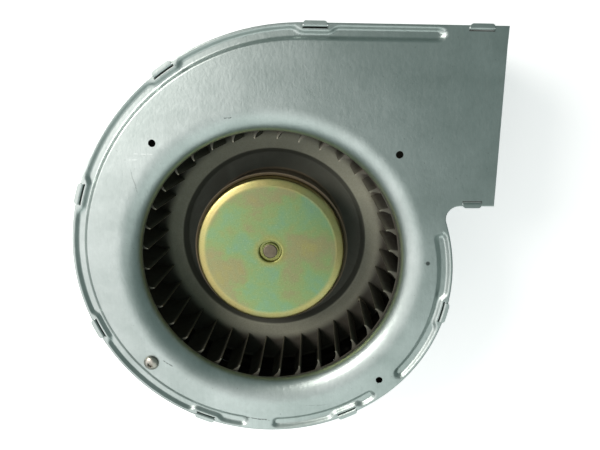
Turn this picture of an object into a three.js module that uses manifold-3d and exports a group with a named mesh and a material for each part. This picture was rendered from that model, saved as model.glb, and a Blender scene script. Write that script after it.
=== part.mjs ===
// Single-inlet centrifugal blower with an external-rotor motor, in millimetres.
// The blower lies on its motor: +Z is the motor's axis, pointing out of the inlet, and air leaves along +X.
// The origin is on that axis at the flat rear face of the motor flange.
import * as THREE from 'three';
import { mergeVertices } from 'three/addons/utils/BufferGeometryUtils.js';
import Module from 'manifold-3d';

const wasm = await Module();
wasm.setup();

// ---- Driving dimensions ----
const gap = 0.3; // between touching pieces
const arcStep = 5; // degrees between points on the scroll's curves
const roundSegments = 48; // round the large turned pieces
const smallSegments = 16; // round screws, races and the gland

const wheel = {
  radius: 80, bladeDepth: 15.3, bladeCount: 36, firstBlade: 4.8, bladeSweep: 5.5, bladeSagitta: 2.2,
  bladeThickness: 0.5, bladeSteps: 5, sheet: 0.8, backClearance: 4.1, recessDepth: 5.3, recessInset: 8.3,
  recessWall: 2.6, lipWidth: 1.5, lipHeight: 25, ringWidth: 10.5, lugLength: 4.3, lugTip: 1.2, lugRoot: 4.2,
};
const clipSize = { blade: 32, height: 6, thickness: 0.4, reach: 0.62 }; // reach is a share of the blade's arc
const rotor = {
  radius: 42, wall: 1.5, edgeRound: 4.5, faceAboveDisc: 25.5, hubRadius: 6.4, hubDepth: 1.3, bossHeight: 3,
  airGap: 0.4, coreWall: 3.8, stackHeight: 20,
};
const shaftRadius = 4;
const bearing = { outerRadius: 11, width: 7, raceWall: 2.1, shoulder: 1.5 };
const motor = {
  potInset: 4, potWall: 3, potDepth: 12, floor: 3, rimWidth: 11, rimThickness: 3,
  tubeWall: 2.5, tubeBelowFace: 13.1, screwInset: 5.5, screwCount: 3, glandAngle: 270,
};
const gland = { bore: 3, hole: 4, headOverhang: 0.4, headThickness: 2, collar: 3 };
const stator = {
  slots: 12, slotDepth: 13, toothShare: 0.52, slotMouth: 2.4, slotLip: 1.6, coilInset: 3, coilGap: 4.5,
};
const scroll = { upper: 38.2, middle: 20.3, lower: 8, upperEnd: 167.5, middleEnd: 310 }; // gaps outside the wheel
const housing = {
  depth: 63, sheet: 0.8, outletReach: 33.8, outletLowY: 31.8, topSlope: 1.4, centreX: 0, centreY: 3.9,
  neckFillet: 6.25,
};
const band = { thickness: 0.7, inset: 1.3, tabWidth: 10.8, tabOverhang: 1 };
const tabAngles = [78, 116, 158, 201.5, 248, 297, 345]; // round the axis, from +X
const tabFromOutletTop = 12.3;
const tabFromOutletLow = 10.8;
const groove = { outer: 2.7, width: 5.3, outerWall: 0.7, innerWall: 2.3, depth: 2, fromOutlet: 28.2 };
const grooveBreaks = [[262.7, 270.8], [308.8, 317.9]]; // flat stretches between the grooves
const grooveEnd = 371.8;
// The inlet and its fixing holes stand a little off the wheel's axis, towards the outlet.
const inlet = {
  centreX: 1.7, centreY: 0, overBlades: 3.9, bellWidth: 12, bellDepth: 9, bellSteps: 5, wheelClearance: 1.5,
};
const fixing = { outsideWheel: 6.2, radius: 1.85, firstAngle: 41.6, count: 4, screwIndex: 2 };

// ---- Radii and heights worked out from them ----
const bladeInner = wheel.radius - wheel.bladeDepth;
const recessRadius = bladeInner - wheel.recessInset;
const throatRadius = bladeInner + inlet.overBlades;
const bellRadius = throatRadius + inlet.bellWidth;
const fixingCircle = wheel.radius + fixing.outsideWheel;
const outletX = wheel.radius + housing.outletReach;
const potRadius = rotor.radius - motor.potInset;
const rimRadius = potRadius + motor.rimWidth;
const flangeScrewCircle = potRadius + motor.screwInset;
const rotorBore = rotor.radius - rotor.wall - gap - rotor.coreWall;
const statorRadius = rotorBore - rotor.airGap;
const tubeRadius = bearing.outerRadius + motor.tubeWall;

const backZ = motor.potDepth + motor.rimThickness + gap; // rear face of the back plate
const frontZ = backZ + housing.depth; // front face of the front plate
const recessBottomZ = backZ + housing.sheet + wheel.backClearance;
const discZ = recessBottomZ + wheel.sheet + wheel.recessDepth; // front face of the wheel's back disc
const ringZ = frontZ - inlet.bellDepth - inlet.wheelClearance; // front face of the wheel's front ring
const faceZ = discZ + rotor.faceAboveDisc; // front face of the rotor cup
const tubeTopZ = faceZ - motor.tubeBelowFace;
const coilTopZ = faceZ - rotor.wall - 1.2;
const stackTopZ = coilTopZ - 5.4;
const stackLowZ = stackTopZ - rotor.stackHeight;
const cupLowZ = recessBottomZ - 1;

const finishes = {
  galvanised: { color: 0xaab5b0, roughness: 0.38, metalness: 0.9 },
  wheelSteel: { color: 0x6d6f66, roughness: 0.5, metalness: 0.8 },
  passivated: { color: 0xa8a35c, roughness: 0.3, metalness: 0.9 },
  castAluminium: { color: 0xb4b6b8, roughness: 0.5, metalness: 0.9 },
  lamination: { color: 0x5a5c5e, roughness: 0.55, metalness: 0.8 },
  copper: { color: 0xa4572c, roughness: 0.4, metalness: 0.9 },
  ground: { color: 0xc4c6c8, roughness: 0.2, metalness: 1 },
  fastener: { color: 0xbfc1bf, roughness: 0.3, metalness: 1 },
  springSteel: { color: 0xc9c8bd, roughness: 0.25, metalness: 1 },
  rubber: { color: 0x1c1c1c, roughness: 0.8, metalness: 0 },
};

const blower = new THREE.Group();

// ---- Solids ----
function solidOf(geometry) {
  const bare = geometry.clone();
  bare.deleteAttribute('normal');
  bare.deleteAttribute('uv');
  const merged = mergeVertices(bare);
  const corners = merged.index.array;
  const kept = [];
  for (let i = 0; i < corners.length; i += 3) {
    const [a, b, c] = [corners[i], corners[i + 1], corners[i + 2]];
    if (a !== b && b !== c && c !== a) kept.push(a, b, c);
  }
  return new wasm.Manifold(new wasm.Mesh({
    numProp: 3,
    vertProperties: new Float32Array(merged.attributes.position.array),
    triVerts: new Uint32Array(kept),
  }));
}

function addPiece(name, solid, finish) {
  const mesh = solid.getMesh();
  const geometry = new THREE.BufferGeometry();
  geometry.setAttribute('position', new THREE.BufferAttribute(new Float32Array(mesh.vertProperties), 3));
  geometry.setIndex(new THREE.BufferAttribute(new Uint32Array(mesh.triVerts), 1));
  geometry.computeVertexNormals();
  const piece = new THREE.Mesh(geometry, new THREE.MeshStandardMaterial(finishes[finish]));
  piece.name = name;
  blower.add(piece);
  return piece;
}

function joined(solids) {
  return solids.reduce((whole, part) => whole.add(part));
}

function without(solid, cutters) {
  return cutters.reduce((left, cutter) => left.subtract(cutter), solid);
}

function signedArea(points) {
  return points.reduce((sum, [x, y], i) => {
    const [nextX, nextY] = points[(i + 1) % points.length];
    return sum + (x * nextY - nextX * y) / 2;
  }, 0);
}

// Turns a closed profile of [radius, z] points round the Z axis, or round a line beside it.
function turned(profile, segments = roundSegments, x = 0, y = 0) {
  const points = signedArea(profile) > 0 ? [...profile] : [...profile].reverse();
  const onAxis = points.findIndex(([r], i) => r === 0 && points.at(i - 1)[0] === 0);
  const ordered = onAxis < 0 ? [...points, points[0]] : [...points.slice(onAxis), ...points.slice(0, onAxis)];
  const lathe = new THREE.LatheGeometry(ordered.map(([r, z]) => new THREE.Vector2(r, z)), segments);
  lathe.rotateX(Math.PI / 2);
  lathe.translate(x, y, 0);
  return solidOf(lathe);
}

function ring(inner, outer, low, high, segments = roundSegments) {
  return turned([[inner, low], [outer, low], [outer, high], [inner, high]], segments);
}

function cylinder(radius, low, high, x = 0, y = 0, segments = smallSegments) {
  const geometry = new THREE.CylinderGeometry(radius, radius, high - low, segments);
  geometry.rotateX(Math.PI / 2);
  geometry.translate(x, y, (low + high) / 2);
  return solidOf(geometry);
}

function extruded(points, low, high) {
  const shape = new THREE.Shape(points.map(([x, y]) => new THREE.Vector2(x, y)));
  const geometry = new THREE.ExtrudeGeometry(shape, { depth: high - low, bevelEnabled: false });
  geometry.translate(0, 0, low);
  return solidOf(geometry);
}

function polar(radius, degrees) {
  const angle = THREE.MathUtils.degToRad(degrees);
  return [radius * Math.cos(angle), radius * Math.sin(angle)];
}

function anglesRound(count, first = 0) {
  return Array.from({ length: count }, (_, i) => first + (360 * i) / count);
}

// ---- The scroll's edge: three arcs that touch, the neck's fillet and the outlet's two straight edges ----
function arcPiece(centre, radius, from, to, hollow = false) {
  const length = radius * THREE.MathUtils.degToRad(Math.abs(to - from));
  const steps = Math.ceil(Math.abs(to - from) / (hollow ? 3 * arcStep : arcStep));
  const at = (share) => {
    const [x, y] = polar(1, from + (to - from) * share);
    const side = hollow ? -1 : 1;
    return { point: [centre[0] + radius * x, centre[1] + radius * y], out: [side * x, side * y] };
  };
  return { length, steps, at };
}

function linePiece(from, to) {
  const [dx, dy] = [to[0] - from[0], to[1] - from[1]];
  const length = Math.hypot(dx, dy);
  const out = [dy / length, -dx / length];
  const at = (share) => ({ point: [from[0] + dx * share, from[1] + dy * share], out });
  return { length, steps: 1, at };
}

function scrollEdge() {
  const h = housing;
  const [upperRadius, middleRadius, lowerRadius] = [scroll.upper, scroll.middle, scroll.lower]
    .map((outside) => wheel.radius + outside);
  const middle = [h.centreX, h.centreY];
  const shifted = (centre, distance, degrees) => {
    const [x, y] = polar(distance, degrees);
    return [centre[0] + x, centre[1] + y];
  };
  const upper = shifted(middle, middleRadius - upperRadius, scroll.upperEnd);
  const lower = shifted(middle, middleRadius - lowerRadius, scroll.middleEnd);
  const topStart = shifted(upper, upperRadius, 90 - h.topSlope);
  const topSlope = Math.tan(THREE.MathUtils.degToRad(h.topSlope));
  const topCorner = [outletX, topStart[1] - (outletX - topStart[0]) * topSlope];
  const filletY = h.outletLowY - h.neckFillet;
  const neckAngle = THREE.MathUtils.radToDeg(Math.asin((filletY - lower[1]) / (lowerRadius + h.neckFillet)));
  const fillet = shifted(lower, lowerRadius + h.neckFillet, neckAngle);
  return [
    linePiece(topCorner, topStart),
    arcPiece(upper, upperRadius, 90 - h.topSlope, scroll.upperEnd),
    arcPiece(middle, middleRadius, scroll.upperEnd, scroll.middleEnd),
    arcPiece(lower, lowerRadius, scroll.middleEnd, 360 + neckAngle),
    arcPiece(fillet, h.neckFillet, 180 + neckAngle, 90, true),
    linePiece([fillet[0], h.outletLowY], [outletX, h.outletLowY]),
  ];
}

const edge = scrollEdge();
const edgeLength = edge.reduce((sum, piece) => sum + piece.length, 0);

function edgeAt(distance) {
  let start = 0;
  for (const piece of edge) {
    if (distance <= start + piece.length) return piece.at(Math.max(0, distance - start) / piece.length);
    start += piece.length;
  }
  return edge.at(-1).at(1);
}

// Distances along the edge where it has a point, between two given distances.
function stations(from, to) {
  const closest = 0.2;
  const list = [from];
  let start = 0;
  for (const piece of edge) {
    for (let i = 0; i <= piece.steps; i += 1) {
      const distance = start + (piece.length * i) / piece.steps;
      if (distance > list.at(-1) + closest && distance < to - closest) list.push(distance);
    }
    start += piece.length;
  }
  return [...list, to];
}

// The distance along the edge at an angle round the wheel's axis.
function distanceAtAngle(degrees) {
  const tooFar = (distance) => {
    const [x, y] = edgeAt(distance).point;
    const angle = THREE.MathUtils.radToDeg(Math.atan2(y, x));
    const turnedAngle = distance > edgeLength / 2 && angle < 90 ? angle + 360 : angle;
    return (turnedAngle < 0 ? turnedAngle + 360 : turnedAngle) > degrees;
  };
  let [low, high] = [0, edgeLength - edge.at(-1).length - edge.at(-2).length];
  for (let i = 0; i < 40; i += 1) {
    const middle = (low + high) / 2;
    if (tooFar(middle)) high = middle;
    else low = middle;
  }
  return low;
}

// Sweeps a section of [inset from the edge, z] points along the edge.
function sweptAlongEdge(section, from, to) {
  const points = signedArea(section) > 0 ? section : [...section].reverse();
  const positions = [];
  const path = stations(from, to);
  for (const distance of path) {
    const { point, out } = edgeAt(distance);
    for (const [inset, z] of points) positions.push(point[0] - out[0] * inset, point[1] - out[1] * inset, z);
  }
  const n = points.length;
  const index = [];
  for (let k = 0; k < path.length - 1; k += 1) {
    for (let i = 0; i < n; i += 1) {
      const j = (i + 1) % n;
      const [a, b, c, d] = [k * n + i, k * n + j, (k + 1) * n + j, (k + 1) * n + i];
      index.push(a, b, c, a, c, d);
    }
  }
  const flat = points.map(([x, y]) => new THREE.Vector2(x, y));
  const last = (path.length - 1) * n;
  for (const [a, b, c] of THREE.ShapeUtils.triangulateShape(flat, [])) {
    index.push(last + a, last + b, last + c, c, b, a);
  }
  const geometry = new THREE.BufferGeometry();
  geometry.setAttribute('position', new THREE.BufferAttribute(new Float32Array(positions), 3));
  geometry.setIndex(index);
  return solidOf(geometry);
}

const tabCentres = [
  tabFromOutletTop,
  ...tabAngles.map(distanceAtAngle),
  edgeLength - tabFromOutletLow,
];

// ---- Housing ----
// Each function takes zIn, the height at a depth below the plate's outer face.
const fromFront = (depth) => frontZ - depth;
const fromBack = (depth) => backZ + depth;

function grooveStretches() {
  const ends = grooveBreaks.map(([from, to]) => [distanceAtAngle(from), distanceAtAngle(to)]);
  return [
    [groove.fromOutlet, ends[0][0]],
    [ends[0][1], ends[1][0]],
    [ends[1][1], distanceAtAngle(grooveEnd)],
  ];
}

function fixingPlaces() {
  return anglesRound(fixing.count, fixing.firstAngle).map((angle) => {
    const [x, y] = polar(fixingCircle, angle);
    return [inlet.centreX + x, inlet.centreY + y];
  });
}

function pressedPlate(zIn) {
  const outline = stations(0, edgeLength).map((distance) => edgeAt(distance).point);
  const heights = [zIn(0), zIn(housing.sheet)].sort((a, b) => a - b);
  const sheetPlate = extruded(outline, ...heights);
  const { outer, width, outerWall, innerWall, depth } = groove;
  const inner = outer + width;
  const { sheet } = housing;
  const ridgeOuter = band.inset + band.thickness + gap + 0.05;
  const ridge = [
    [ridgeOuter, zIn(sheet / 2)], [inner + sheet, zIn(sheet / 2)],
    [inner - innerWall + sheet, zIn(depth + sheet)], [ridgeOuter, zIn(depth + sheet)],
  ];
  const hollow = [
    [outer, zIn(-1)], [inner, zIn(-1)], [inner, zIn(0)],
    [inner - innerWall, zIn(depth)], [outer + outerWall, zIn(depth)], [outer, zIn(0)],
  ];
  const stretches = grooveStretches();
  const raised = joined([sheetPlate, ...stretches.map(([from, to]) => sweptAlongEdge(ridge, from, to))]);
  const pressed = without(raised, stretches.map(([from, to]) => (
    sweptAlongEdge(hollow, from + outerWall, to - outerWall))));
  const slot = [
    [band.inset - gap, zIn(-1)], [band.inset + band.thickness + gap, zIn(-1)],
    [band.inset + band.thickness + gap, zIn(depth + 2 * sheet)], [band.inset - gap, zIn(depth + 2 * sheet)],
  ];
  const half = band.tabWidth / 2 + gap;
  const slots = tabCentres.map((centre) => sweptAlongEdge(slot, centre - half, centre + half));
  const holes = fixingPlaces().map(([x, y]) => (
    cylinder(fixing.radius, heights[0] - depth, heights[1] + depth, x, y)));
  return without(pressed, [...slots, ...holes]);
}

function quarterBell(shrink) {
  const [wide, high] = [inlet.bellWidth - shrink, inlet.bellDepth - shrink];
  return Array.from({ length: inlet.bellSteps + 1 }, (_, i) => {
    const [x, y] = polar(1, 90 - (90 * i) / inlet.bellSteps);
    return [bellRadius - wide * x, frontZ - inlet.bellDepth + high * y];
  });
}

function frontPlate() {
  const lap = 0.5;
  const bell = turned([
    [bellRadius + lap, frontZ - housing.sheet], [bellRadius + lap, frontZ],
    ...quarterBell(0), ...quarterBell(housing.sheet).reverse(),
  ], roundSegments, inlet.centreX, inlet.centreY);
  const eye = cylinder(bellRadius, frontZ - 5, frontZ + 5, inlet.centreX, inlet.centreY, roundSegments);
  return pressedPlate(fromFront).subtract(eye).add(bell);
}

function flangeScrewPlaces() {
  return anglesRound(motor.screwCount, 90).map((angle) => polar(flangeScrewCircle, angle));
}

function backPlate() {
  const opening = cylinder(potRadius - motor.potWall / 2, backZ - 5, backZ + 5, 0, 0, roundSegments);
  const holes = flangeScrewPlaces().map(([x, y]) => cylinder(fixing.radius, backZ - 5, backZ + 5, x, y));
  return without(pressedPlate(fromBack), [opening, ...holes]);
}

function bandTab(zIn) {
  const { inset, thickness, tabOverhang } = band;
  return [
    [inset, zIn(housing.sheet + 2 * gap)], [inset + thickness, zIn(housing.sheet + 2 * gap)],
    [inset + thickness, zIn(-gap - thickness)], [-tabOverhang, zIn(-gap - thickness)],
    [-tabOverhang, zIn(-gap)], [inset, zIn(-gap)],
  ];
}

function scrollBand() {
  const { inset, thickness, tabWidth } = band;
  const low = fromBack(housing.sheet + gap);
  const high = fromFront(housing.sheet + gap);
  const wall = sweptAlongEdge(
    [[inset, low], [inset + thickness, low], [inset + thickness, high], [inset, high]], 0, edgeLength);
  const tabs = [fromFront, fromBack].flatMap((zIn) => tabCentres.map((centre) => (
    sweptAlongEdge(bandTab(zIn), centre - tabWidth / 2, centre + tabWidth / 2))));
  return joined([wall, ...tabs]);
}

// A button-head screw with a six-sided socket; its shank points along -Z from z = 0.
function buttonScrew(shankLength) {
  const head = { radius: 3.8, height: 2.2, socket: 1.45, socketDepth: 1.3, steps: 4 };
  const dome = Array.from({ length: head.steps + 1 }, (_, i) => {
    const [x, y] = polar(1, (70 * i) / head.steps);
    return [head.radius * x, (head.height * y) / Math.sin(THREE.MathUtils.degToRad(70))];
  });
  const shank = fixing.radius - gap;
  const body = turned([
    [0, -shankLength], [shank - 0.4, -shankLength], [shank, -shankLength + 0.4], [shank, 0],
    ...dome, [0, head.height],
  ], smallSegments);
  const socket = cylinder(head.socket, head.height - head.socketDepth, head.height + 1, 0, 0, 6);
  return body.subtract(socket);
}

addPiece('front_plate', frontPlate(), 'galvanised');
addPiece('scroll_band', scrollBand(), 'galvanised');
addPiece('back_plate', backPlate(), 'galvanised');

const inletScrew = addPiece('inlet_screw', buttonScrew(6), 'fastener');
inletScrew.position.set(...fixingPlaces()[fixing.screwIndex], frontZ + gap);

flangeScrewPlaces().forEach(([x, y], i) => {
  const screw = addPiece(`flange_screw_${i + 1}`, buttonScrew(motor.rimThickness + 3), 'fastener');
  screw.position.set(x, y, motor.potDepth - gap);
  screw.rotation.x = Math.PI;
});

// ---- Motor: the parts that stand still ----
const frontBearingLow = tubeTopZ - bearing.width - 1;
const backBearingLow = motor.floor + 5;

function motorFlange() {
  const { potWall, potDepth, floor, rimThickness } = motor;
  const rimTop = potDepth + rimThickness;
  const bore = bearing.outerRadius;
  const shoulder = bore - bearing.shoulder;
  const body = turned([
    [0, 0], [potRadius - 1.5, 0], [potRadius, 1.5], [potRadius, potDepth], [rimRadius, potDepth],
    [rimRadius, rimTop], [potRadius - potWall, rimTop], [potRadius - potWall, floor], [tubeRadius, floor],
    [tubeRadius, tubeTopZ], [bore, tubeTopZ], [bore, frontBearingLow - gap],
    [shoulder, frontBearingLow - gap], [shoulder, backBearingLow + bearing.width + gap],
    [bore, backBearingLow + bearing.width + gap], [bore, floor], [0, floor],
  ]);
  const holes = flangeScrewPlaces().map(([x, y]) => cylinder(fixing.radius, potDepth - 1, rimTop + 1, x, y));
  return without(body, [...holes, glandHole()]);
}

const glandMiddleZ = (motor.floor + motor.potDepth) / 2;

function acrossPotWall(solid, inward) {
  const [x, y] = polar(inward, motor.glandAngle);
  return solid.rotate([0, 90, 0]).rotate([0, 0, motor.glandAngle]).translate([x, y, glandMiddleZ]);
}

function glandHole() {
  return acrossPotWall(cylinder(gland.hole, 0, 3 * motor.potWall), potRadius - 2 * motor.potWall);
}

function cableGland() {
  const outside = motor.potWall + gap + 0.7; // clear of the round wall's sagging sides
  const { bore, hole, headOverhang, headThickness, collar } = gland;
  const end = outside + headThickness + collar;
  const grommet = turned([
    [bore, 0], [hole - gap, 0], [hole - gap, outside], [hole + headOverhang, outside],
    [hole + headOverhang, outside + headThickness], [bore + 0.8, end], [bore, end],
  ], smallSegments);
  return acrossPotWall(grommet, potRadius - motor.potWall);
}

addPiece('motor_flange', motorFlange(), 'castAluminium');
addPiece('cable_gland', cableGland(), 'rubber');

// One tooth pitch of the stator: a slot with a narrow mouth, open towards the rotor.
function slotCutter(angle) {
  const depthRadius = statorRadius - stator.slotDepth;
  const widths = (Math.PI / stator.slots) * (1 - stator.toothShare);
  const lip = stator.slotLip;
  const outline = [
    [depthRadius, -depthRadius * widths], [statorRadius - 2 * lip, -(statorRadius - 2 * lip) * widths],
    [statorRadius - lip, -stator.slotMouth / 2], [statorRadius + lip, -stator.slotMouth / 2],
    [statorRadius + lip, stator.slotMouth / 2], [statorRadius - lip, stator.slotMouth / 2],
    [statorRadius - 2 * lip, (statorRadius - 2 * lip) * widths], [depthRadius, depthRadius * widths],
  ];
  return extruded(outline, stackLowZ - 1, stackTopZ + 1).rotate([0, 0, angle]);
}

function coil(low, high) {
  const round = 2;
  const [inner, outer] = [tubeRadius + stator.coilGap, statorRadius - stator.coilInset];
  return turned([
    [inner, low], [outer - round, low], [outer, low + round], [outer, high - round],
    [outer - round, high], [inner + round, high], [inner, high - round],
  ], roundSegments / 2);
}

addPiece('stator_core', without(
  ring(tubeRadius + gap, statorRadius, stackLowZ, stackTopZ),
  anglesRound(stator.slots).map(slotCutter)), 'lamination');
addPiece('winding_front', coil(stackTopZ + gap, coilTopZ), 'copper');
addPiece('winding_back', coil(motor.potDepth + 1, stackLowZ - gap), 'copper');

function race([inner, outer], low) {
  return ring(inner, outer, low, low + bearing.width, roundSegments / 2);
}

const outerRace = [bearing.outerRadius - gap - bearing.raceWall, bearing.outerRadius - gap];
const innerRace = [shaftRadius + gap, shaftRadius + gap + bearing.raceWall];
for (const [place, low] of [['front', frontBearingLow], ['back', backBearingLow]]) {
  addPiece(`${place}_bearing_outer`, race(outerRace, low), 'ground');
  addPiece(`${place}_bearing_inner`, race(innerRace, low), 'ground');
}

// Wave washer that pushes the back bearing's outer race forward.
function waveWasher() {
  const { floor } = motor;
  const [waves, thickness] = [3, 0.4];
  const height = (backBearingLow - floor - 2 * gap - thickness) / 2;
  const middle = (backBearingLow + floor) / 2;
  const segments = roundSegments / 2;
  const positions = [];
  const index = [];
  for (let i = 0; i < segments; i += 1) {
    const angle = (360 * i) / segments;
    const z = middle + height * Math.cos(THREE.MathUtils.degToRad(angle * waves));
    const [inner, outer] = outerRace;
    for (const [radius, lift] of [[inner, -1], [outer, -1], [outer, 1], [inner, 1]]) {
      positions.push(...polar(radius, angle), z + (lift * thickness) / 2);
    }
    for (let j = 0; j < 4; j += 1) {
      const [a, b] = [i * 4 + j, i * 4 + ((j + 1) % 4)];
      const next = ((i + 1) % segments) * 4;
      const [c, d] = [next + ((j + 1) % 4), next + j];
      index.push(a, c, b, a, d, c);
    }
  }
  const geometry = new THREE.BufferGeometry();
  geometry.setAttribute('position', new THREE.BufferAttribute(new Float32Array(positions), 3));
  geometry.setIndex(index);
  return solidOf(geometry);
}

addPiece('preload_washer', waveWasher(), 'springSteel');

// ---- Motor: the parts that turn ----
// A drawn cup with a shallow round recess in its face, where the shaft is pressed into the boss behind it.
function rotorCup() {
  const { radius, wall, edgeRound, hubRadius, hubDepth, bossHeight } = rotor;
  const rounded = (r) => [0, 30, 60, 90].map((degrees) => {
    const [x, y] = polar(r, degrees);
    return [radius - edgeRound + x, faceZ - edgeRound + y];
  });
  const bore = shaftRadius + gap;
  const boss = hubRadius + wall;
  const bossLowZ = faceZ - wall - bossHeight;
  return turned([
    [bore, bossLowZ], [boss, bossLowZ], [boss, faceZ - wall], ...rounded(edgeRound - wall).reverse(),
    [radius - wall, cupLowZ], [radius, cupLowZ], ...rounded(edgeRound),
    [hubRadius, faceZ], [hubRadius, faceZ - hubDepth], [bore, faceZ - hubDepth],
  ]);
}

function shaft() {
  const low = motor.floor + 1;
  const high = faceZ - rotor.hubDepth / 6; // just below the face
  const grooveLow = backBearingLow - gap - 1.2;
  const chamfer = 0.5;
  return turned([
    [0, low], [shaftRadius - chamfer, low], [shaftRadius, low + chamfer], [shaftRadius, grooveLow],
    [shaftRadius - chamfer, grooveLow], [shaftRadius - chamfer, grooveLow + 1.2],
    [shaftRadius, grooveLow + 1.2], [shaftRadius, high - chamfer], [shaftRadius - chamfer, high], [0, high],
  ], smallSegments);
}

// Open snap ring in the shaft's groove, its ends 40 degrees apart.
function retainingRing() {
  const low = backBearingLow - gap - 1.1;
  const inner = shaftRadius - 0.5 + gap / 2;
  const outer = shaftRadius + 2.4;
  const angles = Array.from({ length: 17 }, (_, i) => 20 + 20 * i);
  const outline = [
    ...angles.map((angle) => polar(outer, angle)),
    ...angles.map((angle) => polar(inner, angle)).reverse(),
  ];
  return extruded(outline, low, low + 1);
}

addPiece('rotor_cup', rotorCup(), 'passivated');
addPiece('rotor_core', ring(rotorBore, rotor.radius - rotor.wall - gap, stackLowZ, stackTopZ), 'lamination');
addPiece('shaft', shaft(), 'ground');
addPiece('retaining_ring', retainingRing(), 'springSteel');

// ---- Wheel ----
// The back disc: a deep collar round the rotor cup, a sunk annulus and the flat ring behind the blades.
function wheelBackDisc() {
  const { sheet, recessWall, lipWidth, lipHeight, radius } = wheel;
  const collar = rotor.radius + gap;
  const lipRadius = collar + lipWidth;
  const lipZ = recessBottomZ + lipHeight;
  const lipRound = lipRadius - collar - sheet;
  const bend = 1.2;
  const wallFoot = recessRadius - recessWall;
  const floorZ = recessBottomZ + sheet;
  return turned([
    [collar, recessBottomZ + bend], [collar + bend, recessBottomZ], [wallFoot, recessBottomZ],
    [recessRadius, discZ - sheet], [radius, discZ - sheet], [radius, discZ],
    [recessRadius - sheet / 2, discZ], [wallFoot - sheet / 2, floorZ], [collar + sheet + bend, floorZ],
    [collar + sheet, floorZ + bend], [collar + sheet, lipZ - sheet - lipRound],
    [lipRadius, lipZ - sheet], [lipRadius, lipZ], [collar, lipZ - sheet],
  ]);
}

// A flat ring with one lug reaching inwards over the front end of each blade.
function wheelFrontRing() {
  const { ringWidth, lugLength, lugTip, lugRoot, radius, sheet, bladeCount, firstBlade } = wheel;
  const ringInner = radius - ringWidth;
  const lugInner = ringInner - lugLength;
  const flat = ring(ringInner, radius, ringZ - sheet, ringZ);
  const lugOuter = ringInner + 1; // laps the ring
  const lugs = anglesRound(bladeCount, firstBlade).map((angle) => extruded([
    [lugInner, -lugTip / 2], [lugOuter, -lugRoot / 2], [lugOuter, lugRoot / 2], [lugInner, lugTip / 2],
  ], ringZ - sheet, ringZ).rotate([0, 0, angle]));
  return joined([flat, ...lugs]);
}

// A point on a blade's arc in the wheel's plane: share 0 is the inner edge, and side moves it off the arc.
function bladeMiddle(share, side = 0) {
  const start = [bladeInner, 0];
  const end = polar(wheel.radius - gap, -wheel.bladeSweep);
  const chord = Math.hypot(end[0] - start[0], end[1] - start[1]);
  const { bladeSagitta: sagitta } = wheel;
  const radius = chord ** 2 / (8 * sagitta) + sagitta / 2;
  const along = THREE.MathUtils.radToDeg(Math.atan2(end[1] - start[1], end[0] - start[0]));
  const halfAngle = THREE.MathUtils.radToDeg(Math.asin(chord / 2 / radius));
  const toCentre = polar(radius - sagitta, along - 90);
  const centre = [(start[0] + end[0]) / 2 + toCentre[0], (start[1] + end[1]) / 2 + toCentre[1]];
  const [x, y] = polar(radius + side, along + 90 + halfAngle * (1 - 2 * share));
  return [centre[0] + x, centre[1] + y];
}

function bladeStrip(thickness, side, fromShare, toShare) {
  const shares = Array.from({ length: wheel.bladeSteps + 1 }, (_, i) => (
    fromShare + ((toShare - fromShare) * i) / wheel.bladeSteps));
  return [
    ...shares.map((share) => bladeMiddle(share, side - thickness / 2)),
    ...shares.map((share) => bladeMiddle(share, side + thickness / 2)).reverse(),
  ];
}

const bladeLowZ = discZ + gap;
const bladeHighZ = ringZ - wheel.sheet - gap;
const bladeAngles = anglesRound(wheel.bladeCount, wheel.firstBlade);

bladeAngles.forEach((angle, i) => {
  const blade = extruded(bladeStrip(wheel.bladeThickness, 0, 0, 1), bladeLowZ, bladeHighZ);
  const piece = addPiece(`blade_${String(i + 1).padStart(2, '0')}`, blade, 'wheelSteel');
  piece.rotation.z = THREE.MathUtils.degToRad(angle);
});

// A folded strip of spring steel pushed over one blade's inner edge.
function balanceClip() {
  const { height, thickness, reach } = clipSize;
  const side = (wheel.bladeThickness + thickness) / 2 + gap;
  const low = bladeLowZ + gap;
  const faces = [-side, side].map((offset) => (
    extruded(bladeStrip(thickness, offset, 0, reach), low, low + height)));
  const width = side + thickness / 2;
  const lap = 0.1;
  const fold = extruded([
    [bladeInner - gap - thickness, -width], [bladeInner + lap, -width],
    [bladeInner + lap, -width + thickness], [bladeInner - gap, -width + thickness],
    [bladeInner - gap, width - thickness], [bladeInner + lap, width - thickness],
    [bladeInner + lap, width], [bladeInner - gap - thickness, width],
  ], low, low + height);
  return joined([...faces, fold]);
}

addPiece('wheel_back_disc', wheelBackDisc(), 'wheelSteel');
addPiece('wheel_front_ring', wheelFrontRing(), 'wheelSteel');
const clip = addPiece('balance_clip', balanceClip(), 'springSteel');
clip.rotation.z = THREE.MathUtils.degToRad(bladeAngles[clipSize.blade]);

export default blower;
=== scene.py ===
import math
from functools import partial
import bmesh
import bpy
from mathutils import Matrix, Vector


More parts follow.
